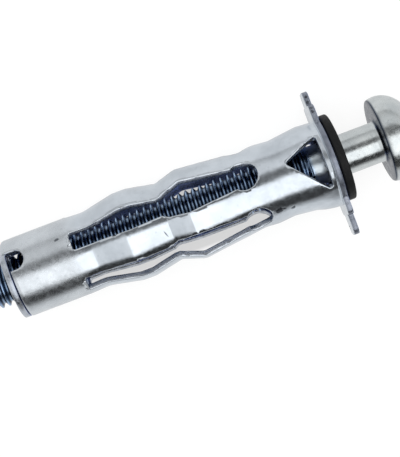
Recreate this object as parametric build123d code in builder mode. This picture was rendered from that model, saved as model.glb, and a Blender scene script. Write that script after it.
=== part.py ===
from build123d import *
from math import cos, radians, sin, tan
import os

# Hollow-wall anchor with its machine screw, in millimetres and degrees.
# The axis lies along X. The tail points to -X, the screw's head to +X, and x = 0 is the
# face of the flange that bears on the wall. Distances named ..._at run from there to the tail.

# Sheet of the sleeve
wall = 0.65
sleeve_length = 36.2
tube_r = 4.35
waist_tail_at = 26.5
waist_tail_r = 4.24
hump_tail_at = 22.1
hump_tail_r = 5.02
hump_tail_flat = 1.5
fold_at = 18.2
fold_r = 4.37
hump_head_at = 15.7
hump_head_r = 5.2
waist_head_at = 8.5
waist_head_r = 4.36
bead_at = 7.0
bead_r = 4.46
groove_at = 5.1
groove_r = 4.31
flare_at = 1.9
flare_r = 4.66
mouth_r = 4.52
flange_lip = 0.43
mouth_bend = 0.36

# Radii of the bends in the sheet
fold_bend = 0.5
hump_head_bend = 1.5
tail_bend = 0.75

# Slots between the legs
slot_count = 5
slot_tail_at = 28.5
slot_neck_angle = 13.5
slot_neck_length = 2.7
slot_mid_angle = 16.0
slot_step_angle = 12.8
slot_step_wide_angle = 18.0
slot_step_length = 0.65
slot_wide_angle = 21.8
slot_throat_angle = 15.6
slot_throat_gap = 0.98
slot_end_at = 7.5
slot_end_r = 1.6
slot_corner = 0.28
first_slot_angle = -90.0

# Windows behind the flange
window_base_at = 0.5
window_length = 4.1
window_low_angle = 45.0
window_high_angle = 41.0
window_apex_angle = 17.0
window_corner = 0.3
window_angle = 76.0

# Claws of the flange
claw_reach = 7.8
long_claw_reach = 8.5
claw_base_width = 5.3
claw_tip_width = 2.7
claw_shoulder = 6.2
claw_corner = 0.9
claw_lap = 0.2
claw_angle = window_angle - 90

# Folded cap at the tail
cap_r = 4.3
cap_slit = 0.12
cap_hole_clearance = 0.2
hinge_angle = 94.6
notch_angle = 31.0
notch_depth = 1.75
notch_round = 1.1

# Screw
thread_r = 2.475
pitch = 0.8
shank_r = 2.24
plain_length = 8.3
screw_length = 45.0
head_r = 4.75
head_seat_r = 4.52
head_height = 4.35
head_side = 0.95
head_gap = 4.51
neck_flare = 0.2
tip_chamfer = 0.75 * pitch
recess_span = 4.6
recess_width = 1.15
recess_depth = 2.5
recess_taper = 9.0

# Nut inside the tail
nut_length = 4.9
nut_fit = 0.02
nut_chamfer = 0.3
nut_setback = 0.1
thread_clearance = 0.04

# Ring under the head
ring_r = 4.85
ring_thickness = 0.95
ring_clearance = 0.12
ring_seat_gap = 0.12
ring_edge = 0.18


def radial_plane(angle, height):
    # Plane square to the radius at an angle about the axis, its x along the axis
    outward = Vector(0, cos(radians(angle)), sin(radians(angle)))
    return Plane(origin=outward * height, x_dir=(1, 0, 0), z_dir=outward)


def axial_plane(angle):
    # Plane through the axis, its y along the radius at an angle
    return Plane(origin=(0, 0, 0), x_dir=(1, 0, 0), z_dir=(0, -sin(radians(angle)), cos(radians(angle))))


def flange_plane(angle):
    # Plane of the flange, its x along the radius at an angle
    return Plane(origin=(0, 0, 0), x_dir=(0, cos(radians(angle)), sin(radians(angle))), z_dir=(1, 0, 0))


def half_width(angle, height):
    return height * tan(radians(angle))


def slot_section(slot_angle, height):
    # One slot seen along the radius, wider in step with the height so its walls stay radial
    end_x = -slot_end_at - slot_end_r
    end_half = slot_end_r * height / waist_head_r
    step_x = -fold_at - slot_step_length / 2
    side = [
        (-slot_tail_at, half_width(slot_neck_angle, height)),
        (-slot_tail_at + slot_neck_length, half_width(slot_neck_angle, height)),
        (-hump_tail_at, half_width(slot_mid_angle, height)),
        (step_x, half_width(slot_step_angle, height)),
        (step_x + slot_step_length, half_width(slot_step_wide_angle, height)),
        (-hump_head_at, half_width(slot_wide_angle, height)),
        (end_x - slot_throat_gap, half_width(slot_throat_angle, height)),
        (end_x, half_width(slot_throat_angle, height)),
    ]
    with BuildSketch(radial_plane(slot_angle, height)) as section:
        with BuildLine():
            Polyline(*side, *[(x, -y) for x, y in reversed(side)], close=True)
        corners = make_face().vertices().sort_by(Axis.X)
        fillet(corners[0:2], slot_corner)
        with Locations((end_x, 0)):
            Ellipse(slot_end_r, end_half)
    return section.sketch


def window_section(side_angle, height):
    # One window behind the flange: a leaning triangle with its base along the mouth
    base_x = -window_base_at
    with BuildSketch(radial_plane(side_angle, height)) as section:
        with BuildLine():
            Polyline(
                (base_x, half_width(window_high_angle, height)),
                (base_x, -half_width(window_low_angle, height)),
                (base_x - window_length, half_width(window_apex_angle, height)),
                close=True,
            )
        corners = make_face().vertices()
        fillet(corners, window_corner)
    return section.sketch


def notch_section(relief_angle, height):
    # Bend relief at one end of the cap's hinge, round at its inner end
    start_x = cap_inner_x + cap_slit / 2
    round_x = tube_end + notch_depth - notch_round
    with BuildSketch(radial_plane(relief_angle, height)) as section:
        with Locations((start_x, 0)):
            Rectangle(round_x - start_x, 2 * half_width(notch_angle / 2, height), align=(Align.MIN, Align.CENTER))
        with Locations((round_x, 0)):
            Ellipse(notch_round, half_width(notch_angle / 2, height))
    return section.sketch


# Places worked out from the sizes
tail_x = -sleeve_length
flange_r = mouth_r + flange_lip
cap_inner_x = tail_x + wall
tube_end = cap_inner_x + cap_slit
bore_r = tube_r - wall
below_wall = 0.75 * bore_r
above_wall = 1.1 * max(tube_r, hump_tail_r, hump_head_r)
half_turn = hinge_angle / 2

with BuildPart() as sleeve:
    # Rolled sheet, from the rim of the flange to the cap folded over the tail
    outline = [
        (0, flange_r),
        (0, mouth_r),
        (-flare_at, flare_r),
        (-groove_at, groove_r),
        (-bead_at, bead_r),
        (-waist_head_at, waist_head_r),
        (-hump_head_at, hump_head_r),
        (-fold_at, fold_r),
        (-hump_tail_at + hump_tail_flat / 2, hump_tail_r),
        (-hump_tail_at - hump_tail_flat / 2, hump_tail_r),
        (-waist_tail_at, waist_tail_r),
        (-slot_tail_at, tube_r),
        (tail_x, tube_r),
        (tail_x, thread_r + cap_hole_clearance),
    ]
    bends = {
        (0, mouth_r): min(mouth_bend, 0.9 * flange_lip),
        (-hump_head_at, hump_head_r): hump_head_bend,
        (-fold_at, fold_r): fold_bend,
        (tail_x, tube_r): max(tail_bend, wall + 0.1),
    }
    with BuildSketch(Plane.XY):
        with BuildLine() as sheet_line:
            Polyline(*outline)
            for (x, y), radius in bends.items():
                corner = sheet_line.vertices().sort_by_distance((x, y, 0))[0]
                fillet(corner, radius)
            offset(amount=wall, side=Side.LEFT)
        make_face()
    revolve(axis=Axis.X)

    # Slots that leave the legs free to fold outwards
    for number in range(slot_count):
        slot_angle = first_slot_angle + number * 360 / slot_count
        loft([slot_section(slot_angle, below_wall), slot_section(slot_angle, above_wall)], mode=Mode.SUBTRACT)

    # Two windows, and between them the necks that carry the flange
    for side_angle in (window_angle, window_angle + 180):
        loft([window_section(side_angle, below_wall), window_section(side_angle, above_wall)], mode=Mode.SUBTRACT)

    # Free rim of the cap, slit from the tube everywhere but at its hinge
    with BuildSketch(axial_plane(claw_angle + half_turn)):
        with Locations((tail_x, bore_r - wall)):
            Rectangle(wall, cap_r - bore_r + wall, align=Align.MIN)
    revolve(axis=Axis.X, revolution_arc=360 - hinge_angle)
    with BuildSketch(axial_plane(claw_angle + half_turn)):
        with Locations((cap_inner_x, bore_r - wall)):
            Rectangle(cap_slit, 3 * wall, align=Align.MIN)
    revolve(axis=Axis.X, revolution_arc=360 - hinge_angle, mode=Mode.SUBTRACT)

    # Bend reliefs at both ends of the hinge
    for turn in (-1, 1):
        relief_angle = claw_angle + turn * (half_turn + notch_angle / 2)
        loft([notch_section(relief_angle, below_wall), notch_section(relief_angle, above_wall)], mode=Mode.SUBTRACT)

    # Claws in the plane of the flange, the one opposite the cap's hinge longer
    for turn, reach in ((claw_angle, claw_reach), (claw_angle + 180, long_claw_reach)):
        with BuildSketch(flange_plane(turn)) as claw:
            Rectangle(claw_shoulder, claw_base_width, align=(Align.MIN, Align.CENTER))
            Rectangle(reach, claw_tip_width, align=(Align.MIN, Align.CENTER))
            rows = claw.vertices().group_by(Axis.X)
            shoulders = rows[-2].sort_by(Axis.Y)
            fillet([*rows[-1], shoulders[0], shoulders[-1]], claw_corner)
            Circle(flange_r - claw_lap, mode=Mode.SUBTRACT)
        extrude(amount=wall)

sleeve.part.label = "sleeve"

# Nut pressed into the tail, just clear of the reliefs
nut_x = tube_end + notch_depth + nut_setback
with BuildPart() as nut:
    with BuildSketch(Plane.YZ.offset(nut_x)):
        Circle(bore_r - nut_fit)
    extrude(amount=nut_length)
    chamfer(nut.edges().filter_by(GeomType.CIRCLE), nut_chamfer)
    with BuildSketch(Plane.YZ.offset(nut_x)):
        Circle(thread_r + thread_clearance)
    extrude(amount=nut_length, mode=Mode.SUBTRACT)
nut.part.label = "nut"

# Ring on the shank, against the flange
ring_x = wall + ring_seat_gap
with BuildPart() as washer_ring:
    with BuildSketch(Plane.YZ.offset(ring_x)):
        Circle(ring_r)
        Circle(thread_r + ring_clearance, mode=Mode.SUBTRACT)
    extrude(amount=ring_thickness)
    chamfer(washer_ring.edges().filter_by(GeomType.CIRCLE).sort_by(SortBy.RADIUS)[-2:], ring_edge)
washer_ring.part.label = "washer_ring"

# Screw, its thread drawn as a plain cylinder of the thread's outer size
seat_x = ring_x + ring_thickness + head_gap
tip_x = seat_x - screw_length
plain_x = seat_x - plain_length
side_x = seat_x + head_side
top_x = seat_x + head_height
with BuildPart() as screw:
    with BuildSketch(Plane.XY):
        with BuildLine():
            Polyline(
                (top_x, 0),
                (tip_x, 0),
                (tip_x, thread_r - tip_chamfer),
                (tip_x + tip_chamfer, thread_r),
                (plain_x, thread_r),
                (plain_x + pitch / 3, shank_r),
                (seat_x - neck_flare, shank_r),
                (seat_x, shank_r + neck_flare),
                (seat_x, head_seat_r),
            )
            TangentArc((side_x, head_r), (seat_x, head_seat_r), tangent=(-1, 0))
            EllipticalCenterArc((side_x, 0), top_x - side_x, head_r, start_angle=0, arc_size=90)
        make_face()
    revolve(axis=Axis.X)

    # Cross recess, its wings narrowing towards the bottom
    with BuildSketch(Plane.YZ.offset(top_x)):
        Rectangle(recess_span, recess_width)
        Rectangle(recess_width, recess_span)
    extrude(amount=-recess_depth, taper=recess_taper, mode=Mode.SUBTRACT)
screw.part.label = "screw"

os.makedirs("parts", exist_ok=True)
export_step(sleeve.part, "parts/sleeve.step")
export_step(nut.part, "parts/nut.step")
export_step(washer_ring.part, "parts/washer_ring.step")
export_step(screw.part, "parts/screw.step")
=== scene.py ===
from bisect import bisect_right
from math import atan2, ceil, cos, degrees, hypot, pi, radians, sin, tan

import bmesh
import bpy
from mathutils import Matrix, Vector, noise


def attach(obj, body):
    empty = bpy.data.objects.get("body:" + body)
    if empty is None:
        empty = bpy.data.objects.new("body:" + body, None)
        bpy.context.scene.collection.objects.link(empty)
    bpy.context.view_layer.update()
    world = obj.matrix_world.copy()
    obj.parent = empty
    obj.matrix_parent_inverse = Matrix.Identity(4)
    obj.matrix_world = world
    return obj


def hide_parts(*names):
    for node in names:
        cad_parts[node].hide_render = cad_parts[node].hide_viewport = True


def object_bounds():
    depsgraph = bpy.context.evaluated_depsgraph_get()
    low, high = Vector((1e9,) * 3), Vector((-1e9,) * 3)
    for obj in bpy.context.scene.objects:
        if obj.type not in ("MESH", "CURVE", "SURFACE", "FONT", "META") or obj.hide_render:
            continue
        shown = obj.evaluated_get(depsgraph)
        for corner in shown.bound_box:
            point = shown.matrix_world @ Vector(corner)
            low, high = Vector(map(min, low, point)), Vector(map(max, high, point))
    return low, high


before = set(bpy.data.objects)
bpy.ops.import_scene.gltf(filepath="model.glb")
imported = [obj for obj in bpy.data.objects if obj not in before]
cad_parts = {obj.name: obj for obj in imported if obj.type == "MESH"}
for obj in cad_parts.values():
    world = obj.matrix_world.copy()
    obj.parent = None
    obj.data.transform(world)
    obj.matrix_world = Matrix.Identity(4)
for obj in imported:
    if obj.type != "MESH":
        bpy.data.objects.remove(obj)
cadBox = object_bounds()
mm = 0.001  # every size below is in millimetres
noiseRange = (0.35, 0.65)  # where a noise texture mostly lies
scene = bpy.context.scene


def addNode(tree, kind, sockets=None, **settings):
    made = tree.nodes.new(kind)
    for key, value in settings.items():
        setattr(made, key, value)
    for key, value in (sockets or {}).items():
        if isinstance(value, bpy.types.NodeSocket):
            tree.links.new(value, made.inputs[key])
        else:
            made.inputs[key].default_value = value
    return made


def calculate(tree, operation, *values):
    return addNode(tree, "ShaderNodeMath", dict(enumerate(values)), operation=operation).outputs[0]


def spread(tree, value, low, high, newLow, newHigh):
    made = addNode(tree, "ShaderNodeMapRange", {0: value, 1: low, 2: high, 3: newLow, 4: newHigh})
    return made.outputs[0]


def rampOf(tree, value, stops):
    made = addNode(tree, "ShaderNodeValToRGB", {0: value})
    elements = made.color_ramp.elements
    for index, (place, level) in enumerate(stops):
        atEnd = index in (0, len(stops) - 1)
        element = elements[0 if index == 0 else -1] if atEnd else elements.new(place)
        element.color = (level, level, level, 1)
    return made.outputs[0]


def makeObject(name, bm, smooth=True):
    mesh = bpy.data.meshes.new(name)
    bm.to_mesh(mesh)
    bm.free()
    if smooth:
        mesh.polygons.foreach_set("use_smooth", [True] * len(mesh.polygons))
    made = bpy.data.objects.new(name, mesh)
    scene.collection.objects.link(made)
    return made


def settleModifiers(piece):
    # what the modifiers show becomes the mesh itself
    seen = bpy.context.evaluated_depsgraph_get()
    mesh = bpy.data.meshes.new_from_object(piece.evaluated_get(seen))
    piece.modifiers.clear()
    piece.data = mesh


def roundedLine(corners, closed=False, turnStep=9):
    # corners are (a, b, bend) and each bend becomes an arc
    points = []
    for index, (a, b, bend) in enumerate(corners):
        here = Vector((a, b))
        atEnd = not closed and index in (0, len(corners) - 1)
        if atEnd or bend <= 0:
            points.append(here)
            continue
        before = Vector(corners[index - 1][:2]) - here
        after = Vector(corners[(index + 1) % len(corners)][:2]) - here
        opening = before.angle(after)
        reach = min(bend / tan(opening / 2), 0.49 * before.length, 0.49 * after.length)
        radius = reach * tan(opening / 2)
        start = here + before.normalized() * reach
        middle = (before.normalized() + after.normalized()).normalized()
        centre = here + middle * radius / sin(opening / 2)
        side = 1 if before.y * after.x - before.x * after.y > 0 else -1
        turn = side * (pi - opening)
        pieces = max(1, ceil(abs(degrees(turn)) / turnStep))
        for number in range(pieces + 1):
            points.append(centre + Matrix.Rotation(turn * number / pieces, 2) @ (start - centre))
    return points


def subdivided(points, longest):
    finer = [points[0]]
    for point in points[1:]:
        gap = point - finer[-1]
        if gap.length < 1e-5:
            continue
        parts = max(1, ceil(gap.length / longest))
        start = finer[-1].copy()
        finer += [start + gap * number / parts for number in range(1, parts + 1)]
    return finer


sleeveLook = {
    "wall": 0.65,
    "length": 36.2,
    "flangeR": 4.95,
    "line": [  # distance behind the wall face, radius, bend
        (0.0, 4.95, 0),
        (0.0, 4.52, 0.36),
        (1.9, 4.66, 1.6),
        (5.1, 4.31, 1.0),
        (7.0, 4.46, 1.6),
        (8.5, 4.36, 3.0),
        (15.7, 5.2, 1.5),
        (18.2, 4.37, 0.5),
        (21.35, 5.02, 1.6),
        (22.85, 5.02, 2.0),
        (26.5, 4.24, 3.0),
        (28.5, 4.35, 3.0),
        (36.2, 4.35, 0.75),
        (36.2, 2.675, 0),
    ],
    "seamAngle": 25.0,
    "flatRadius": 4.4,
    "slotAngles": [-90 + 72 * number for number in range(5)],
    "slotLine": [  # distance behind the wall face, half angle, bend
        (28.5, 13.5, 0.28),
        (25.8, 13.5, 2.2),
        (22.1, 16.0, 2.2),
        (18.53, 12.8, 0.22),
        (17.87, 18.0, 0.35),
        (15.7, 21.8, 1.8),
        (10.12, 15.6, 0.18),
    ],
    "slotEnd": (9.1, 1.6, 130),  # distance, radius, half turn
    "slotEndSteps": 26,
    "windowAngles": (76.0, 256.0),
    "windowLine": [(0.5, -41, 0.3), (0.5, 45, 0.3), (4.6, -17, 0.3)],
    "claws": [(-14.0, 7.8), (166.0, 8.5)],  # angle, reach from the axis
    "clawLine": [(4.18, -2.65, 0), (6.2, -2.65, 0.9), (6.2, -1.35, 0), (None, -1.35, 0.9),
                 (None, 1.35, 0.9), (6.2, 1.35, 0), (6.2, 2.65, 0.9), (4.18, 2.65, 0)],
    "clawStep": 0.35,
    "clawRows": [-0.4 * number for number in range(1, 9)],
    "flareAngle": 166.0,
    "flareSpread": 44.0,
    "flareHeight": 0.55,
    "flareLength": 3.0,
    "flareRadii": (6.4, 1.7),  # none from here out, full this much further in
    "hingeCentre": -14.0,
    "hingeAngle": 94.6,
    "notchAngle": 31.0,
    "notchDepth": 1.75,
    "notchRound": 1.1,
    "capSlit": 0.12,
    "capR": 4.3,
    "reliefSteps": 18,
    "hingeBlend": (0.5, 5.0),  # degrees before the hinge's edge, width
    "turnStep": 3.0,
    "runStep": 0.42,
    "unevenness": 0.018,
    "unevenStretch": (-34.0, -0.5),
    "unevenScale": 0.45,
    "edgeRound": 0.08,
    "edgeDrop": 0.05,
    "closest": 0.09,
    "closestOnRims": 0.027,
    "flapArea": 0.02,
    "weld": 0.004,
}


class Sheet:
    # the line that is rolled round the axis, measured along its length
    def __init__(self, look):
        corners = [(-back, radius, bend) for back, radius, bend in look["line"]]
        self.points = subdivided(roundedLine(corners), look["runStep"])
        self.reach = [0.0]
        for before, after in zip(self.points, self.points[1:]):
            self.reach.append(self.reach[-1] + (after - before).length)
        self.end = self.reach[-1]

    def place(self, along):
        index = min(max(bisect_right(self.reach, along) - 1, 0), len(self.points) - 2)
        share = (along - self.reach[index]) / (self.reach[index + 1] - self.reach[index])
        return self.points[index].lerp(self.points[index + 1], share)

    def alongAt(self, back):
        for index, (before, after) in enumerate(zip(self.points, self.points[1:])):
            if before.x >= -back >= after.x and before.x > after.x:
                share = (before.x + back) / (before.x - after.x)
                return self.reach[index] + share * (self.reach[index + 1] - self.reach[index])
        return self.end


def addLoop(bm, points):
    verts = [bm.verts.new((along, across, 0)) for along, across in points]
    for start, end in zip(verts, verts[1:] + verts[:1]):
        bm.edges.new((start, end))


def slotLoop(look, sheet, centre):
    flat = look["flatRadius"]
    side = [(sheet.alongAt(back), flat * radians(half), bend)
            for back, half, bend in look["slotLine"]]
    back, radius, halfTurn = look["slotEnd"]
    endAlong, steps = sheet.alongAt(back), look["slotEndSteps"]
    end = []
    for number in range(steps + 1):
        turn = radians(halfTurn - number * halfTurn * 2 / steps)
        end.append((endAlong - radius * cos(turn), radius * sin(turn), 0))
    corners = side + end[1:-1] + [(along, -across, bend) for along, across, bend in reversed(side)]
    middle = flat * radians(centre)
    return [(along, across + middle) for along, across in roundedLine(corners, closed=True)]


def windowLoop(look, sheet, centre):
    flat = look["flatRadius"]
    corners = [(sheet.alongAt(back), flat * radians(centre + turn), bend)
               for back, turn, bend in look["windowLine"]]
    return [tuple(point) for point in roundedLine(corners, closed=True)]


def capLoop(look, sheet):
    # slit round the cap with a bend relief at each end
    flat = look["flatRadius"]
    capRim = sheet.end - (look["capR"] - look["line"][-1][1])
    tubeEnd = sheet.alongAt(look["length"] - look["wall"] - look["capSlit"])
    roundAt = tubeEnd - look["notchDepth"] + look["notchRound"]
    first = look["hingeCentre"] + look["hingeAngle"] / 2
    last = look["hingeCentre"] + 360 - look["hingeAngle"] / 2
    half = look["notchAngle"] / 2

    def relief(middle):
        arc = []
        for number in range(look["reliefSteps"] + 1):
            turn = pi * number / look["reliefSteps"]
            arc.append((roundAt - look["notchRound"] * sin(turn),
                        flat * radians(middle - half * cos(turn))))
        return arc

    loop = [(capRim, flat * radians(first))]
    loop += relief(first + half)
    loop += [(tubeEnd, flat * radians(angle)) for angle in (first + 2 * half, last - 2 * half)]
    loop += relief(last - half)
    loop += [(capRim, flat * radians(last))]
    return loop


def rimLoop(look, sheet):
    # outer edge of the flat pattern: the flange with its claws, and the hole of the cap
    flat = look["flatRadius"]
    start = look["seamAngle"] - look["turnStep"]
    end = look["seamAngle"] + 360 + look["turnStep"]
    loop = [(0.0, flat * radians(start))]
    for centre, reach in sorted((angle % 360, reach) for angle, reach in look["claws"]):
        corners = [(reach if out is None else out, across, bend)
                   for out, across, bend in look["clawLine"]]
        for point in subdivided(roundedLine(corners), look["clawStep"]):
            outward = hypot(point.x, point.y)
            turn = degrees(atan2(point.y, point.x))
            loop.append((min(look["flangeR"] - outward, 0), flat * radians(centre + turn)))
    loop += [(0.0, flat * radians(end)), (sheet.end, flat * radians(end)),
             (sheet.end, flat * radians(start))]
    return loop


def cutGrid(bm, alongs, acrosses):
    for direction, places in ((Vector((1, 0, 0)), alongs), (Vector((0, 1, 0)), acrosses)):
        for place in places:
            geometry = bm.verts[:] + bm.edges[:] + bm.faces[:]
            bmesh.ops.bisect_plane(bm, geom=geometry, dist=1e-5, plane_co=direction * place,
                                   plane_no=direction)
    # the slanting edges of the first filling go
    slanting = []
    for edge in bm.edges:
        run = edge.verts[1].co - edge.verts[0].co
        inside = len(edge.link_faces) == 2 and all(face.material_index == 0 for face in edge.link_faces)
        if inside and min(abs(run.x), abs(run.y)) > 1e-4:
            slanting.append(edge)
    bmesh.ops.dissolve_edges(bm, edges=slanting, use_verts=False)
    spare = [vert for vert in bm.verts if len(vert.link_edges) == 2 and not vert.is_boundary]
    bmesh.ops.dissolve_verts(bm, verts=spare)


def tidyRims(bm, look):
    # points of the grid that lie too near an edge join it
    rim = [vert for vert in bm.verts if vert.is_boundary]
    band = [vert for vert in bm.verts
            if not vert.is_boundary and any(face.material_index for face in vert.link_faces)]
    found = bmesh.ops.find_doubles(bm, verts=bm.verts[:], keep_verts=rim + band, dist=look["closest"])
    bmesh.ops.weld_verts(bm, targetmap=found["targetmap"])
    for kept in (rim, band):
        bmesh.ops.remove_doubles(bm, verts=[vert for vert in kept if vert.is_valid],
                                 dist=look["closestOnRims"])
    # slivers that folded over their neighbours go, until none is left
    flaps = True
    while flaps:
        flaps = {face for edge in bm.edges if len(edge.link_faces) > 2 for face in edge.link_faces
                 if sum(len(side.link_faces) != 2 for side in face.edges) > 1
                 and face.calc_area() < look["flapArea"]}
        bmesh.ops.delete(bm, geom=list(flaps), context="FACES")
    bmesh.ops.dissolve_degenerate(bm, dist=1e-3, edges=bm.edges[:])


def rolled(look, sheet, point):
    # a point of the flat pattern, where the rolled sheet has it
    along, angle = point.x, degrees(point.y / look["flatRadius"])
    if along < 0:
        x, radius = 0.0, look["flangeR"] - along
        run = Vector((0, -1))
    else:
        x, radius = sheet.place(along)
        run = sheet.place(along + 0.02) - sheet.place(along - 0.02)
    hinge = look["hingeCentre"] + look["hingeAngle"] / 2
    inside = min(angle - hinge, hinge + 360 - look["hingeAngle"] - angle)
    holeR = look["line"][-1][1]
    before, width = look["hingeBlend"]
    if inside > -before and along > sheet.end - (look["capR"] - holeR) - 0.02:
        share = min(max((inside + before) / width, 0), 1)
        x += (-look["length"] - x) * share
        radius += (holeR + sheet.end - along - radius) * share
        run = run.lerp(Vector((0, -1)), share)
    # the sheet swells out of the tube into the long claw
    off = abs(angle - look["flareAngle"]) / look["flareSpread"]
    if off < 1 and x > -look["flareLength"]:
        outermost, fade = look["flareRadii"]
        share = smoothShare(1 - off) * smoothShare(1 + x / look["flareLength"])
        radius += look["flareHeight"] * (share * smoothShare((outermost - radius) / fade))
    out = Vector((run.y, -run.x)).normalized() * point.z
    x, radius = x + out.x, radius + out.y
    turn = radians(angle)
    place = Vector((x, radius * cos(turn), radius * sin(turn)))
    if look["unevenStretch"][0] < x < look["unevenStretch"][1]:
        radius += look["unevenness"] * noise.noise(place * look["unevenScale"])
    return Vector((x, radius * cos(turn), radius * sin(turn)))


def smoothShare(value):
    value = min(max(value, 0), 1)
    return value * value * (3 - 2 * value)


def buildSleeve(look):
    sheet = Sheet(look)
    flat = look["flatRadius"]
    start = look["seamAngle"]
    bm = bmesh.new()
    addLoop(bm, rimLoop(look, sheet))
    for angle in look["slotAngles"]:
        turned = angle + 360 if angle < start else angle
        addLoop(bm, slotLoop(look, sheet, turned))
    for angle in look["windowAngles"]:
        addLoop(bm, windowLoop(look, sheet, angle))
    addLoop(bm, capLoop(look, sheet))
    bmesh.ops.triangle_fill(bm, use_beauty=True, edges=bm.edges[:])
    bmesh.ops.recalc_face_normals(bm, faces=bm.faces[:])
    band = bmesh.ops.inset_region(bm, faces=bm.faces[:], use_boundary=True, use_even_offset=True,
                                  thickness=look["edgeRound"], depth=0)["faces"]
    for face in band:
        face.material_index = 1
    turnCount = round(360 / look["turnStep"])
    turns = [flat * radians(start + look["turnStep"] * number) for number in range(turnCount + 1)]
    cutGrid(bm, look["clawRows"] + sheet.reach[:-1], turns)
    tidyRims(bm, look)
    # the pattern gets its thickness while it is flat, with its edges eased on both faces
    for face in bm.faces:
        face.material_index = 0
    made = bmesh.ops.extrude_face_region(bm, geom=bm.faces[:], use_keep_orig=True)["geom"]
    below = {item for item in made if isinstance(item, bmesh.types.BMVert)}
    under = {item for item in made if isinstance(item, bmesh.types.BMFace)}
    for face in bm.faces:
        if face in under:
            face.material_index = 1
        elif any(vert in below for vert in face.verts):
            face.material_index = 2
            for vert in face.verts:
                drop = look["edgeDrop"]
                vert.co.z = drop - look["wall"] if vert in below else -drop
    for vert in below:
        if vert.co.z == 0:
            vert.co.z = -look["wall"]
    for place, side in ((turns[0], -1), (turns[-1], 1)):
        geometry = bm.verts[:] + bm.edges[:] + bm.faces[:]
        bmesh.ops.bisect_plane(bm, geom=geometry, dist=1e-4, plane_co=(0, place, 0),
                               plane_no=(0, side, 0), clear_outer=True)
    bmesh.ops.recalc_face_normals(bm, faces=bm.faces[:])
    for vert in bm.verts:
        vert.co = rolled(look, sheet, vert.co) * mm
    bmesh.ops.remove_doubles(bm, verts=bm.verts[:], dist=look["weld"] * mm)
    bmesh.ops.recalc_face_normals(bm, faces=bm.faces[:])
    return makeObject("sleeveSheet", bm)


screwLook = {
    "pitch": 0.8,
    "crestR": 2.475,
    "rootR": 2.04,
    "crestFlat": 0.1,
    "rootFlat": 0.16,
    "crestEase": (0.03, 0.04),  # along, inward
    "tip": -38.77,
    "threadEnd": -1.75,
    "runOut": 0.55,
    "tipChamfer": 0.62,
    "tipSlope": 0.95,
    "shankR": 2.24,
    "shankRings": (-1.4, -0.5, 0.5, 1.5, 2.5, 3.5, 4.5, 5.4),
    "neckFlare": 0.2,
    "seat": 6.23,
    "seatR": 4.52,
    "seatRings": (3.0, 3.8),
    "headR": 4.75,
    "side": 0.95,
    "top": 10.58,
    "recessSpan": 4.6,
    "recessWidth": 1.15,
    "recessDepth": 2.5,
    "recessTaper": 9.0,
    "recessTapers": (0.9, 0.25),  # share of the taper across the span and the width
    "recessLip": 0.4,
    "recessEdge": 0.1,
    "turnSteps": 48,
    "roundSteps": 96,
    "domeSteps": 24,
    "underSteps": 8,
    "flareSteps": 6,
}


def revolve(bm, points, steps):
    # a line of (x, radius) turned a full turn about the axis
    verts = [bm.verts.new((x, radius, 0)) for x, radius in points]
    edges = [bm.edges.new(pair) for pair in zip(verts, verts[1:])]
    bmesh.ops.spin(bm, geom=verts + edges, cent=(0, 0, 0), axis=(1, 0, 0), dvec=(0, 0, 0),
                   angle=2 * pi, steps=steps, use_merge=True)
    bmesh.ops.remove_doubles(bm, verts=bm.verts[:], dist=1e-4)


def buildThread(look):
    bm = bmesh.new()
    pitch, steps = look["pitch"], look["turnSteps"]
    half = pitch / 2
    crest, crestR, rootR = look["crestFlat"] / 2, look["crestR"], look["rootR"]
    easeAlong, easeIn = look["crestEase"]
    line = [(-half, rootR), (-half + look["rootFlat"] / 2, rootR),
            (-crest - easeAlong, crestR - easeIn), (-crest, crestR),
            (crest, crestR), (crest + easeAlong, crestR - easeIn),
            (half - look["rootFlat"] / 2, rootR), (half, rootR)]
    start = look["threadEnd"] + 2 * pitch
    verts = [bm.verts.new((start + x, radius, 0)) for x, radius in line]
    edges = [bm.edges.new(pair) for pair in zip(verts, verts[1:])]
    turns = ceil((start - look["tip"]) / pitch) + 2
    bmesh.ops.spin(bm, geom=verts + edges, cent=(0, 0, 0), axis=(1, 0, 0), dvec=(-pitch / steps, 0, 0),
                   angle=2 * pi * turns, steps=steps * turns)
    bmesh.ops.remove_doubles(bm, verts=bm.verts[:], dist=1e-3)
    for place, side in ((look["threadEnd"], 1), (look["tip"], -1)):
        geometry = bm.verts[:] + bm.edges[:] + bm.faces[:]
        bmesh.ops.bisect_plane(bm, geom=geometry, dist=1e-5, plane_co=(place, 0, 0),
                               plane_no=(side, 0, 0), clear_outer=True)
    for vert in bm.verts:
        radius = hypot(vert.co.y, vert.co.z)
        share = smoothShare((vert.co.x - look["threadEnd"] + look["runOut"]) / look["runOut"])
        wanted = radius + (look["shankR"] - radius) * share
        fromTip = vert.co.x - look["tip"]
        wanted = min(wanted, look["crestR"] - look["tipChamfer"] + fromTip * look["tipSlope"])
        vert.co.yz *= wanted / radius
    return bm


def quarterTurns(steps):
    return [pi / 2 * number / steps for number in range(steps + 1)]


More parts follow.
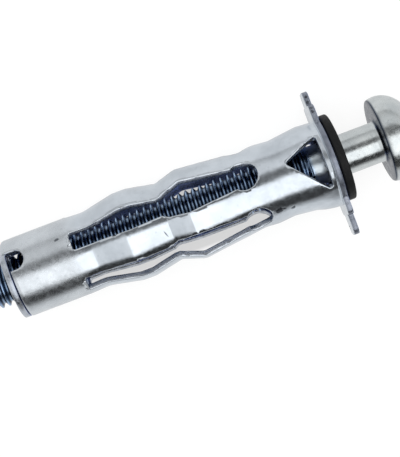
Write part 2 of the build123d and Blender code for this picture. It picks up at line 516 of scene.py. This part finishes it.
def buildScrew(look):
    bm = buildThread(look)
    seat, side, top = look["seat"], look["side"] + look["seat"], look["top"]
    dome = []
    for turn in quarterTurns(look["domeSteps"]):
        dome.append((side + (top - side) * sin(turn), look["headR"] * cos(turn)))
    under = []
    for turn in quarterTurns(look["underSteps"]):
        under.append((side - look["side"] * sin(turn),
                      look["seatR"] + (look["headR"] - look["seatR"]) * cos(turn)))
    flare = []
    for turn in quarterTurns(look["flareSteps"]):
        flare.append((seat - look["neckFlare"] * cos(turn),
                      look["shankR"] + look["neckFlare"] * (1 - sin(pi / 2 - turn))))
    line = [(look["threadEnd"] + 0.08, look["shankR"])]
    line += [(x, look["shankR"]) for x in look["shankRings"]] + flare
    line += [(seat, radius) for radius in look["seatRings"]] + under[::-1] + dome[1:]
    revolve(bm, line, look["roundSteps"])
    # thread and shank meet in one ring, and both ends close
    rims = [edge for edge in bm.edges if edge.is_boundary]
    atShank, atTip = ([edge for edge in rims if all(abs(vert.co.x - place) < reach for vert in edge.verts)]
                      for place, reach in ((look["threadEnd"], 0.1), (look["tip"], 1e-3)))
    bmesh.ops.bridge_loops(bm, edges=atShank)
    bmesh.ops.holes_fill(bm, edges=atTip, sides=0)
    bmesh.ops.remove_doubles(bm, verts=bm.verts[:], dist=2e-4)
    bmesh.ops.recalc_face_normals(bm, faces=bm.faces[:])
    bmesh.ops.scale(bm, vec=(mm, mm, mm), verts=bm.verts[:])
    piece = makeObject("screwThreaded", bm)

    cutters = []
    for number in range(2):
        cut = bmesh.new()
        bmesh.ops.create_cube(cut, size=1)
        span, width, depth = look["recessSpan"], look["recessWidth"], look["recessDepth"]
        spanTaper, widthTaper = look["recessTapers"]
        for vert in cut.verts:
            high = vert.co.x > 0
            shrink = 0 if high else (depth + look["recessLip"]) * tan(radians(look["recessTaper"]))
            vert.co.x = look["top"] + (look["recessLip"] if high else -depth)
            vert.co.y = (1 if vert.co.y > 0 else -1) * (span / 2 - shrink * spanTaper)
            vert.co.z = (1 if vert.co.z > 0 else -1) * (width / 2 - shrink * widthTaper)
        bmesh.ops.bevel(cut, geom=cut.edges[:], offset=look["recessEdge"], segments=2, profile=0.5,
                        affect="EDGES", material=-1)
        bmesh.ops.rotate(cut, cent=(0, 0, 0), verts=cut.verts[:],
                         matrix=Matrix.Rotation(radians(45 + 90 * number), 3, "X"))
        bmesh.ops.scale(cut, vec=(mm, mm, mm), verts=cut.verts[:])
        cutter = makeObject(f"recessCutter{number}", cut)
        cutters.append(cutter)
        added = piece.modifiers.new("Recess", "BOOLEAN")
        added.operation, added.object, added.solver = "DIFFERENCE", cutter, "EXACT"
    settleModifiers(piece)
    for cutter in cutters:
        bpy.data.objects.remove(cutter)
    return piece


ringLook = {"inner": 2.6, "outer": 4.85, "back": 0.77, "thick": 0.95, "edge": 0.22, "innerEdge": 0.06,
            "roundSteps": 96}


def buildRing(look):
    bm = bmesh.new()
    back, front = look["back"], look["back"] + look["thick"]
    corners = [(back, look["inner"], look["innerEdge"]), (back, look["outer"], look["edge"]),
               (front, look["outer"], look["edge"]), (front, look["inner"], look["innerEdge"])]
    line = [tuple(point) for point in roundedLine(corners, closed=True, turnStep=18)]
    revolve(bm, line + line[:1], look["roundSteps"])
    bmesh.ops.recalc_face_normals(bm, faces=bm.faces[:])
    bmesh.ops.scale(bm, vec=(mm, mm, mm), verts=bm.verts[:])
    return makeObject("blackRing", bm)


def makePlatingGroup():
    # clouds, fine grain and small spots of a zinc plating
    group = bpy.data.node_groups.new("platingMottle", "ShaderNodeTree")
    face = group.interface
    face.new_socket("Vector", in_out="INPUT", socket_type="NodeSocketVector")
    for name in ("Cloud size", "Grain size", "Spots"):
        face.new_socket(name, in_out="INPUT", socket_type="NodeSocketFloat")
    for name in ("Tone", "Grain", "Spot"):
        face.new_socket(name, in_out="OUTPUT", socket_type="NodeSocketFloat")
    given = addNode(group, "NodeGroupInput").outputs
    cloudScale = calculate(group, "DIVIDE", 1000.0, given["Cloud size"])
    grainScale = calculate(group, "DIVIDE", 1000.0, given["Grain size"])
    place = given["Vector"]
    clouds = addNode(group, "ShaderNodeTexNoise", {"Vector": place, "Scale": cloudScale, "Detail": 3.0,
                                                   "Roughness": 0.55}).outputs[0]
    grain = addNode(group, "ShaderNodeTexNoise", {"Vector": place, "Scale": grainScale, "Detail": 4.0,
                                                  "Roughness": 0.62}).outputs[0]
    cells = addNode(group, "ShaderNodeTexVoronoi", {"Vector": place, "Scale": grainScale}).outputs[0]
    spots = spread(group, cells, 0.05, 0.3, 1.0, 0.0)
    thinned = calculate(group, "MULTIPLY", spots, spread(group, grain, 0.48, 0.62, 0.0, 1.0))
    out = addNode(group, "NodeGroupOutput")
    group.links.new(clouds, out.inputs["Tone"])
    group.links.new(grain, out.inputs["Grain"])
    group.links.new(calculate(group, "MULTIPLY", thinned, given["Spots"]), out.inputs["Spot"])
    return group


def makeEdgeGroup():
    # how near a point lies to a worn edge
    group = bpy.data.node_groups.new("wornEdge", "ShaderNodeTree")
    face = group.interface
    face.new_socket("Width", in_out="INPUT", socket_type="NodeSocketFloat")
    face.new_socket("Edge", in_out="OUTPUT", socket_type="NodeSocketFloat")
    given = addNode(group, "NodeGroupInput").outputs
    width = calculate(group, "MULTIPLY", given["Width"], 0.001)
    rounded = addNode(group, "ShaderNodeBevel", {"Radius": width}, samples=6).outputs[0]
    plain = addNode(group, "ShaderNodeNewGeometry").outputs["Normal"]
    alike = addNode(group, "ShaderNodeVectorMath", {0: rounded, 1: plain},
                    operation="DOT_PRODUCT").outputs["Value"]
    out = addNode(group, "NodeGroupOutput")
    group.links.new(spread(group, alike, 0.995, 0.9, 0.0, 1.0), out.inputs["Edge"])
    return group


def mixColour(tree, share, first, second, blend="MIX"):
    made = addNode(tree, "ShaderNodeMix", data_type="RGBA", blend_type=blend)
    for index, value in ((0, share), (6, first), (7, second)):
        if isinstance(value, bpy.types.NodeSocket):
            tree.links.new(value, made.inputs[index])
        else:
            made.inputs[index].default_value = (*value, 1) if isinstance(value, tuple) else value
    return made.outputs[2]


def startMaterial(name, groups, look):
    material = bpy.data.materials.new(name)
    material.use_nodes = True
    tree = material.node_tree
    place = addNode(tree, "ShaderNodeTexCoord").outputs["Object"]
    sizes = {"Vector": place, "Cloud size": look["cloudSize"], "Grain size": look["grainSize"],
             "Spots": look["spots"]}
    mottle = addNode(tree, "ShaderNodeGroup", sizes, node_tree=groups["mottle"]).outputs
    edge = addNode(tree, "ShaderNodeGroup", {"Width": look["edgeWidth"]},
                   node_tree=groups["edge"]).outputs[0]
    worn = calculate(tree, "MULTIPLY", edge, look["edgeShare"])
    rough = spread(tree, mottle["Grain"], *noiseRange, look["smoothest"], look["roughest"])
    return material, tree, place, mottle, worn, rough


def makeZinc(name, groups, look):
    material, tree, place, mottle, worn, rough = startMaterial(name, groups, look)
    shader = tree.nodes["Principled BSDF"]
    parts = addNode(tree, "ShaderNodeSeparateXYZ", {0: place}).outputs
    base = mixColour(tree, spread(tree, mottle["Tone"], *noiseRange, 0.0, 1.0), look["dark"], look["light"])
    base = mixColour(tree, mottle["Spot"], base, look["spotColour"])
    base = mixColour(tree, worn, base, look["edgeColour"])
    strength = look["bump"]
    for low, high, colour, extra in look.get("zones", []):
        # a stretch along the axis with its own tone and roughness; on the screw these tones are painted
        # light and painted shade
        share = spread(tree, parts["X"], low * mm, high * mm, 0.0, 1.0)
        base = mixColour(tree, share, base, mixColour(tree, 1.0, base, colour, "MULTIPLY"))
        rough = calculate(tree, "ADD", rough, calculate(tree, "MULTIPLY", share, extra))
        strength = calculate(tree, "ADD", strength, calculate(tree, "MULTIPLY", share, max(extra, 0) * 3))
    if "paintedShadeColour" in look:
        # painted shade: a near-black colour on the thread's flanks and under the head, standing in for
        # shade and dark reflections
        flat = addNode(tree, "ShaderNodeVectorMath", {0: place, 1: (0, 1, 1)},
                       operation="MULTIPLY").outputs[0]
        radius = addNode(tree, "ShaderNodeVectorMath", {0: flat}, operation="LENGTH").outputs["Value"]
        flank, atRoot, thread, seat, headEdge = (
            spread(tree, radius if byRadius else parts["X"], low * mm, high * mm, start, 1.0)
            for byRadius, low, high, start in look["paintedShadePlaces"])
        paintedFlankShade = calculate(tree, "MULTIPLY", calculate(tree, "MULTIPLY", flank, atRoot), thread)
        under = calculate(tree, "MULTIPLY", seat, headEdge)
        base = mixColour(tree, calculate(tree, "MAXIMUM", paintedFlankShade, under), base, look["paintedShadeColour"])
    height = mottle["Grain"]
    marks = None
    for markPlace, markSize, markTurn in look.get("marks", []):
        local = addNode(tree, "ShaderNodeMapping", {"Vector": place, "Location": Vector(markPlace) * mm,
                                                    "Rotation": markTurn, "Scale": Vector(markSize) * mm},
                        vector_type="TEXTURE").outputs[0]
        wobble = addNode(tree, "ShaderNodeVectorMath", {0: local}, operation="LENGTH").outputs["Value"]
        ragged = calculate(tree, "ADD", wobble, spread(tree, mottle["Grain"], 0.3, 0.7, -0.5, 0.5))
        mask = spread(tree, ragged, 0.7, 1.0, 1.0, 0.0)
        marks = mask if marks is None else calculate(tree, "MAXIMUM", marks, mask)
    if marks is not None:
        stain = calculate(tree, "MULTIPLY", marks, look["markShare"])
        base = mixColour(tree, stain, base, look["markColour"])
        height = calculate(tree, "SUBTRACT", height, calculate(tree, "MULTIPLY", marks, look["markDepth"]))
    bump = addNode(tree, "ShaderNodeBump", {"Strength": strength, "Distance": look["bumpDepth"] * mm,
                                            "Height": height}).outputs[0]
    tree.links.new(base, shader.inputs["Base Color"])
    tree.links.new(rough, shader.inputs["Roughness"])
    tree.links.new(bump, shader.inputs["Normal"])
    shader.inputs["Metallic"].default_value = 1.0
    return material


def makeRubber(name, groups, look):
    material, tree, place, mottle, worn, rough = startMaterial(name, groups, look)
    shader = tree.nodes["Principled BSDF"]
    base = mixColour(tree, mottle["Tone"], look["dark"], look["light"])
    base = mixColour(tree, worn, base, look["edgeColour"])
    base = mixColour(tree, mottle["Spot"], base, look["spotColour"])
    bump = addNode(tree, "ShaderNodeBump", {"Strength": look["bump"], "Distance": look["bumpDepth"] * mm,
                                            "Height": mottle["Grain"]}).outputs[0]
    tree.links.new(base, shader.inputs["Base Color"])
    tree.links.new(rough, shader.inputs["Roughness"])
    tree.links.new(bump, shader.inputs["Normal"])
    shader.inputs["Specular IOR Level"].default_value = look["specular"]
    return material


zincSheetLook = {
    "cloudSize": 2.6, "grainSize": 0.5, "spots": 0.35, "edgeWidth": 0.12, "edgeShare": 0.5,
    "dark": (0.55, 0.60, 0.655), "light": (0.65, 0.705, 0.765), "spotColour": (0.30, 0.33, 0.38),
    "edgeColour": (0.82, 0.84, 0.87), "smoothest": 0.1, "roughest": 0.2, "bump": 0.25, "bumpDepth": 0.02,
    "zones": [  # from, full at, tint, rougher by
        (-27.2, -29.2, (1.02, 1.0, 0.975), 0.13),
        (-8.6, -7.4, (1.0, 1.0, 1.0), 0.05),
    ],
    "marks": [  # place, size, turn
        ((-29.84, 3.11, 3.04), (0.26, 0.16, 0.16), (0, 0, 0.3)),
        ((-18.82, -0.05, 4.45), (0.07, 0.5, 0.3), (0, 0, 0.35)),
        ((-6.62, -2.29, 3.81), (0.5, 0.5, 0.5), (0, 0, 0)),
        ((-5.2, -2.58, 3.48), (0.28, 0.22, 0.25), (0, 0, 0.4)),
    ],
    "markColour": (0.07, 0.08, 0.1), "markShare": 0.8, "markDepth": 1.2,
}
# the sheet's inner face: the same zinc painted darker and bluer, painted shade inside the tube
zincInsidePaintedShadeLook = {
    "cloudSize": 1.8, "grainSize": 0.4, "spots": 0.5, "edgeWidth": 0.1, "edgeShare": 0.3,
    "dark": (0.16, 0.21, 0.38), "light": (0.34, 0.40, 0.62), "spotColour": (0.06, 0.07, 0.12),
    "edgeColour": (0.6, 0.65, 0.8), "smoothest": 0.22, "roughest": 0.36, "bump": 0.3, "bumpDepth": 0.025,
}
zincEdgeLook = {
    "cloudSize": 1.2, "grainSize": 0.3, "spots": 0.8, "edgeWidth": 0.08, "edgeShare": 0.3,
    "dark": (0.42, 0.46, 0.52), "light": (0.62, 0.66, 0.72), "spotColour": (0.1, 0.11, 0.13),
    "edgeColour": (0.8, 0.82, 0.85), "smoothest": 0.22, "roughest": 0.42, "bump": 0.5, "bumpDepth": 0.03,
    "zones": [(-0.4, -0.05, (0.55, 0.56, 0.6), 0.1)],
    "marks": [
        ((0.3, 7.31, -0.43), (0.2, 0.2, 0.2), (0, 0, 0)),
        ((0.3, 6.73, -0.29), (0.2, 0.22, 0.2), (0, 0, 0)),
        ((0.3, 6.37, 1.14), (0.22, 0.2, 0.2), (0, 0, 0)),
        ((0.3, 5.88, 1.27), (0.2, 0.2, 0.2), (0, 0, 0)),
    ],
    "markColour": (0.05, 0.05, 0.06), "markShare": 0.8, "markDepth": 1.2,
}
zincScrewLook = {
    "cloudSize": 2.0, "grainSize": 0.4, "spots": 0.5, "edgeWidth": 0.06, "edgeShare": 0.3,
    "dark": (0.53, 0.57, 0.585), "light": (0.65, 0.685, 0.69), "spotColour": (0.22, 0.21, 0.19),
    "edgeColour": (0.8, 0.8, 0.8), "smoothest": 0.16, "roughest": 0.3, "bump": 0.3, "bumpDepth": 0.025,
    # painted light: the shank inside the sleeve is made paler and bluer; painted shade: the thread is made
    # darker and bluer
    "zones": [(-0.1, -0.5, (1.03, 1.07, 1.12), 0.12), (-1.5, -1.9, (0.54, 0.69, 0.93), -0.07)],
    # painted shade on the thread's flanks and under the head
    "paintedShadeColour": (0.035, 0.05, 0.08),
    "paintedShadePlaces": [  # by radius or along the axis, from, full at, least
        (True, 2.45, 2.3, 0.0), (True, 2.05, 2.12, 0.35), (False, -1.9, -2.6, 0.0),
        (False, 6.0, 6.15, 0.0), (False, 6.5, 6.3, 0.0),
    ],
}
rubberLook = {
    "cloudSize": 1.2, "grainSize": 0.2, "spots": 0.4, "edgeWidth": 0.12, "edgeShare": 0.6,
    "dark": (0.004, 0.004, 0.005), "light": (0.009, 0.01, 0.01), "spotColour": (0.07, 0.07, 0.07),
    "edgeColour": (0.05, 0.05, 0.055), "smoothest": 0.45, "roughest": 0.65, "bump": 0.5, "bumpDepth": 0.02,
    "specular": 0.2,
}


stageLook = {
    # level of the sky by the angle round the axis, from straight up towards +Y
    "skyToTail": [(-180, 0.55), (-84, 0.55), (-74, 0.05), (-42, 0.04), (-36, 0.95), (14, 1.0),
                  (20, 0.28), (40, 0.28), (50, 0.84), (80, 0.55), (100, 0.38), (180, 0.5)],
    "skyToHead": [(-180, 0.55), (-84, 0.55), (-74, 0.04), (-42, 0.03), (-37, 1.6), (11, 1.6),
                  (17, 0.17), (38, 0.17), (48, 0.9), (70, 0.78), (86, 0.5), (100, 0.4), (180, 0.5)],
    "skyBlend": (-0.24, -0.16),  # the tail's sky goes over into the head's
    "skyStrength": 1.6,
    "levelForDiffuse": 0.85,
    "floorSize": 3.0,
    "floorGlow": (1.1, 0.85),  # to the camera, in reflections
    "floorGlowShare": 0.76,
    "floorColour": (0.86, 0.86, 0.855),
    "underShade": 0.36,
    "underEdges": [("Y", -5.85, -5.3), ("Y", 3.4, 2.2), ("X", -36.4, -35.0), ("X", -0.4, -1.6)],
    "lampEnergy": 0.35,
    "lampSize": 0.25,
    "lampPlace": (-0.05, 0.12, 0.32),
    "lampAim": (-0.014, 0, 0),
}
cameraLook = {"roll": 20.8, "lift": 14.0, "aim": (-15.26, -1.886, 0.470), "distance": 140.4, "lens": 102.4}


def buildWorld(look):
    world = bpy.data.worlds.new("studio")
    scene.world = world
    world.use_nodes = True
    tree = world.node_tree
    tree.nodes.clear()
    direction = addNode(tree, "ShaderNodeTexCoord").outputs["Generated"]
    parts = addNode(tree, "ShaderNodeSeparateXYZ", {0: direction}).outputs
    turn = calculate(tree, "ARCTAN2", parts["Y"], parts["Z"])
    share = spread(tree, turn, -pi, pi, 0.0, 1.0)
    strength = look["skyStrength"]
    sides = [rampOf(tree, share, [((angle + 180) / 360, level / strength) for angle, level in look[side]])
             for side in ("skyToTail", "skyToHead")]
    bands = mixColour(tree, spread(tree, parts["X"], *look["skyBlend"], 0.0, 1.0), *sides)
    rays = addNode(tree, "ShaderNodeLightPath").outputs
    pale = (1, 1, 1, 1)
    seen, plain, white = (
        addNode(tree, "ShaderNodeBackground", {"Color": colour, "Strength": level}).outputs[0]
        for colour, level in ((bands, strength), (pale, look["levelForDiffuse"]), (pale, 1.0)))
    lit = addNode(tree, "ShaderNodeMixShader", {0: rays["Is Glossy Ray"], 1: plain, 2: seen}).outputs[0]
    open_ = calculate(tree, "MAXIMUM", rays["Is Camera Ray"], rays["Is Transmission Ray"])
    final = addNode(tree, "ShaderNodeMixShader", {0: open_, 1: lit, 2: white}).outputs[0]
    addNode(tree, "ShaderNodeOutputWorld", {"Surface": final})


def buildFloor(look):
    bm = bmesh.new()
    bmesh.ops.create_grid(bm, x_segments=1, y_segments=1, size=look["floorSize"] / 2)
    lowest = cadBox[0][2]
    bmesh.ops.translate(bm, vec=(0, 0, lowest), verts=bm.verts[:])
    floor = makeObject("paleFloor", bm, smooth=False)
    material = bpy.data.materials.new("paleFloor")
    material.use_nodes = True
    tree = material.node_tree
    shader = tree.nodes["Principled BSDF"]
    shader.inputs["Base Color"].default_value = (*look["floorColour"], 1)
    shader.inputs["Roughness"].default_value = 0.9
    shader.inputs["Specular IOR Level"].default_value = 0.0
    rays = addNode(tree, "ShaderNodeLightPath").outputs
    level = spread(tree, rays["Is Glossy Ray"], 0.0, 1.0, *look["floorGlow"])
    # the shade close under the sleeve
    place = addNode(tree, "ShaderNodeTexCoord").outputs["Object"]
    parts = addNode(tree, "ShaderNodeSeparateXYZ", {0: place}).outputs
    shade = look["underShade"]
    for axis, low, high in look["underEdges"]:
        shade = calculate(tree, "MULTIPLY", spread(tree, parts[axis], low * mm, high * mm, 0.0, 1.0), shade)
    level = calculate(tree, "MULTIPLY", level, calculate(tree, "SUBTRACT", 1.0, shade))
    glow = addNode(tree, "ShaderNodeEmission", {"Color": (1, 1, 1, 1), "Strength": level}).outputs[0]
    seen = calculate(tree, "MAXIMUM", rays["Is Camera Ray"],
                     calculate(tree, "MAXIMUM", rays["Is Glossy Ray"], rays["Is Transmission Ray"]))
    share = calculate(tree, "MULTIPLY", seen, look["floorGlowShare"])
    mixed = addNode(tree, "ShaderNodeMixShader", {0: share, 1: shader.outputs[0], 2: glow}).outputs[0]
    tree.links.new(mixed, tree.nodes["Material Output"].inputs["Surface"])
    floor.data.materials.append(material)


def buildLamp(look):
    lamp = bpy.data.objects.new("softLamp", bpy.data.lights.new("softLamp", "AREA"))
    lamp.data.shape = "DISK"
    lamp.data.size = look["lampSize"]
    lamp.data.energy = look["lampEnergy"]
    lamp.location = look["lampPlace"]
    aim = Vector(look["lampAim"]) - lamp.location
    lamp.rotation_euler = aim.to_track_quat("-Z", "Y").to_euler()
    lamp.visible_glossy = False
    scene.collection.objects.link(lamp)


def buildCamera(look):
    lift, roll = radians(look["lift"]), radians(look["roll"])
    towards = Vector((0, sin(lift), cos(lift)))
    across = Vector((0, cos(lift), -sin(lift)))
    right = cos(roll) * Vector((1, 0, 0)) - sin(roll) * across
    up = sin(roll) * Vector((1, 0, 0)) + cos(roll) * across
    data = bpy.data.cameras.new("camera")
    data.lens = look["lens"]
    data.sensor_width = 36
    data.sensor_fit = "AUTO"
    data.clip_start = 0.005
    camera = bpy.data.objects.new("camera", data)
    place = (Vector(look["aim"]) + towards * look["distance"]) * mm
    turned = Matrix((right, up, towards)).transposed().to_4x4()
    camera.matrix_world = Matrix.Translation(place) @ turned
    scene.collection.objects.link(camera)
    scene.camera = camera


print("stage and light")
scene.view_settings.view_transform = "Standard"
buildWorld(stageLook)
buildFloor(stageLook)
buildLamp(stageLook)
buildCamera(cameraLook)

print("finishes")
groups = {"mottle": makePlatingGroup(), "edge": makeEdgeGroup()}
zincSheet = makeZinc("zincSheet", groups, zincSheetLook)
zincInsidePaintedShade = makeZinc("zincInsidePaintedShade", groups, zincInsidePaintedShadeLook)
zincEdge = makeZinc("zincEdge", groups, zincEdgeLook)
zincScrew = makeZinc("zincScrew", groups, zincScrewLook)
blackRubber = makeRubber("blackRubber", groups, rubberLook)

print("sleeve")
sleevePiece = buildSleeve(sleeveLook)
for material in (zincSheet, zincInsidePaintedShade, zincEdge):
    sleevePiece.data.materials.append(material)
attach(sleevePiece, "anchor")
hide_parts("sleeve")

print("screw")
screwPiece = buildScrew(screwLook)
screwPiece.data.materials.clear()
screwPiece.data.materials.append(zincScrew)
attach(screwPiece, "screw")
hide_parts("screw")

print("ring and nut")
ringPiece = buildRing(ringLook)
ringPiece.data.materials.append(blackRubber)
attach(ringPiece, "ring")
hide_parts("washer_ring")
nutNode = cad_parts["nut"]
for slot in nutNode.material_slots:
    slot.material = zincScrew

print("done")
